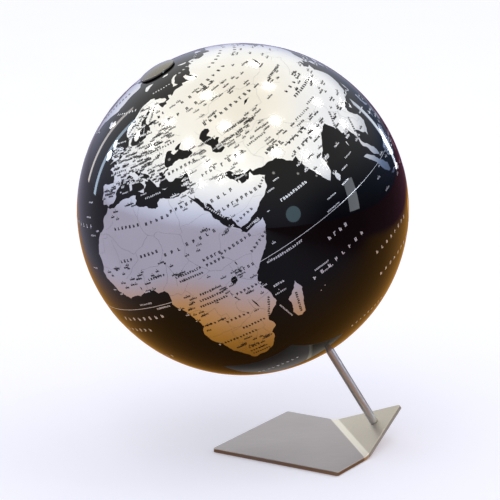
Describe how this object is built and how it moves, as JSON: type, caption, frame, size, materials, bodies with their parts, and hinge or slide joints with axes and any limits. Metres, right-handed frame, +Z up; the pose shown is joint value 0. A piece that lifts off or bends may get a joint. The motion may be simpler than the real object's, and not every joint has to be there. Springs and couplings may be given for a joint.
{
  "type": "desktop globe",
  "caption": "World globe in gloss black with silver land, spinning on a tilted steel rod that stands on a bent rhombus of brushed steel plate.",
  "frame": {"origin": "on the table, at the centre of the object's bounding box seen from above", "axes": "+Z up; +X towards the tip of the stand's raised wing, so the globe's axis leans towards -X; +Y to the object's left seen from the wing"},
  "size_m": [0.3045, 0.3, 0.3806],
  "materials": {
    "globe_acrylic": "high gloss black, with the land in silver foil",
    "brushed_stainless": "brushed lengthwise, satin",
    "satin_rod_steel": "satin ground rod",
    "cap_steel": "satin, turned",
    "screw_steel": "zinc plated",
    "spring_steel": "dark phosphated",
    "bush_brass": "turned",
    "slip_washer": "smooth low friction plastic",
    "hub_plastic": "moulded, fine texture",
    "tube_aluminium": "drawn tube",
    "pad_felt": "pressed felt"
  },
  "bodies": {
    "stand": {"base_plate": "brushed_stainless", "foot_pad_tip": "pad_felt", "foot_pad_left": "pad_felt", "foot_pad_right": "pad_felt", "foot_pad_heel": "pad_felt", "support_rod": "satin_rod_steel", "rod_screw": "screw_steel", "south_washer": "slip_washer", "north_washer": "slip_washer", "axle_lock_nut": "screw_steel", "pole_cap": "cap_steel"},
    "globe": {"north_hemisphere": "globe_acrylic", "south_hemisphere": "globe_acrylic", "seam_ring": "hub_plastic", "north_hub": "hub_plastic", "south_hub": "hub_plastic", "north_bush": "bush_brass", "south_bush": "bush_brass", "north_bush_clip": "spring_steel", "south_bush_clip": "spring_steel", "central_tube": "tube_aluminium"}
  },
  "joints": [
    {"name": "globe_spin", "type": "hinge", "parent": "stand", "child": "globe", "pos_m": [-0.00226, 0, 0.23057], "axis": [-0.515, 0, 0.8572], "continuous": true}
  ]
}
